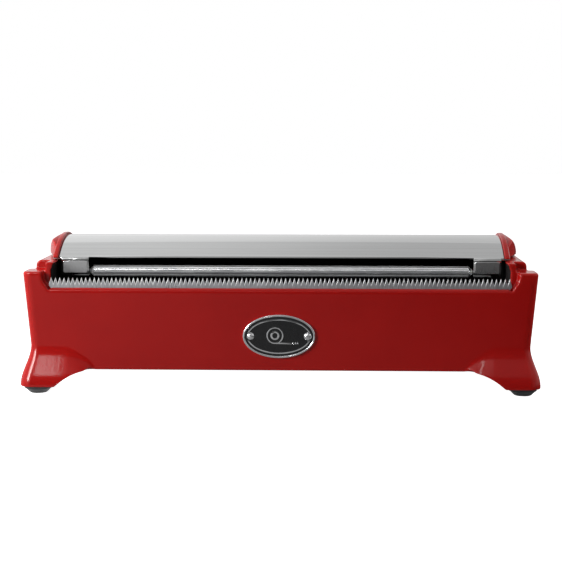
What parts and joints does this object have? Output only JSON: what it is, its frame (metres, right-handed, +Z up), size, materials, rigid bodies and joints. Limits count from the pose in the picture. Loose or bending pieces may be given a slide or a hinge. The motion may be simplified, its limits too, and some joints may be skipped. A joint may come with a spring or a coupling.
{
  "type": "cling film dispenser",
  "caption": "Bench-top cling film dispenser: cast housing on flared legs, hinged stainless lid with cast end caps, serrated cutter, film roller in the lid and a roller cradle for the roll.",
  "frame": {"origin": "on the bench, under the centre of the bounding box", "axes": "X across the width, -Y towards the user at the cutter side, +Y towards the hinges, +Z up"},
  "size_m": [0.528, 0.174, 0.1577],
  "materials": {
    "red_enamel": "glossy red enamel on cast aluminium",
    "stainless": "satin stainless steel",
    "blade_steel": "ground hardened stainless strip",
    "chrome": "bright chrome",
    "badge_black": "gloss black",
    "rubber": "dark smooth rubber",
    "acetal": "off-white acetal"
  },
  "bodies": {
    "base": {"housing": "red_enamel", "bottom_tray": "stainless", "tray_screws": "chrome", "cutter_blade": "blade_steel", "blade_clamp_strip": "stainless", "blade_screws": "chrome", "foot_front_left": "rubber", "foot_front_right": "rubber", "foot_rear_left": "rubber", "foot_rear_right": "rubber", "foot_screws": "chrome", "badge_plate": "badge_black", "badge_rim": "chrome", "badge_inner_ring": "chrome", "badge_emblem": "chrome", "badge_screws": "chrome", "cradle_bracket_left": "stainless", "cradle_bracket_right": "stainless", "cradle_bracket_screws": "chrome", "cradle_axle_front": "stainless", "cradle_axle_rear": "stainless", "lid_bumper_left": "rubber", "lid_bumper_right": "rubber", "hinge_base_leaf_left": "stainless", "hinge_base_leaf_right": "stainless", "hinge_pin_left": "chrome", "hinge_pin_right": "chrome", "hinge_screws": "chrome"},
    "lid": {"lid_cover": "stainless", "lid_end_cap_left": "red_enamel", "lid_end_cap_right": "red_enamel", "lid_cap_nuts": "chrome", "hinge_lid_leaf_left": "stainless", "hinge_lid_leaf_right": "stainless", "hinge_rivets": "chrome", "roller_bearing_left": "acetal", "roller_bearing_right": "acetal"},
    "film_roller": {"film_roller_tube": "chrome", "film_roller_plugs": "chrome", "film_roller_axle": "stainless"},
    "cradle_front": {"cradle_roller_front": "stainless", "cradle_bushes_front": "acetal"},
    "cradle_rear": {"cradle_roller_rear": "stainless", "cradle_bushes_rear": "acetal"}
  },
  "joints": [
    {"name": "lid_hinge", "type": "hinge", "parent": "base", "child": "lid", "pos_m": [0, 0.0748, 0.12075], "axis": [-1, 0, 0], "range_deg": [0, 105]},
    {"name": "film_roller_spin", "type": "hinge", "parent": "lid", "child": "film_roller", "pos_m": [0, -0.03227, 0.1214], "axis": [1, 0, 0], "continuous": true},
    {"name": "cradle_front_spin", "type": "hinge", "parent": "base", "child": "cradle_front", "pos_m": [0, -0.012, 0.046], "axis": [1, 0, 0], "continuous": true},
    {"name": "cradle_rear_spin", "type": "hinge", "parent": "base", "child": "cradle_rear", "pos_m": [0, 0.036, 0.046], "axis": [1, 0, 0], "continuous": true}
  ]
}
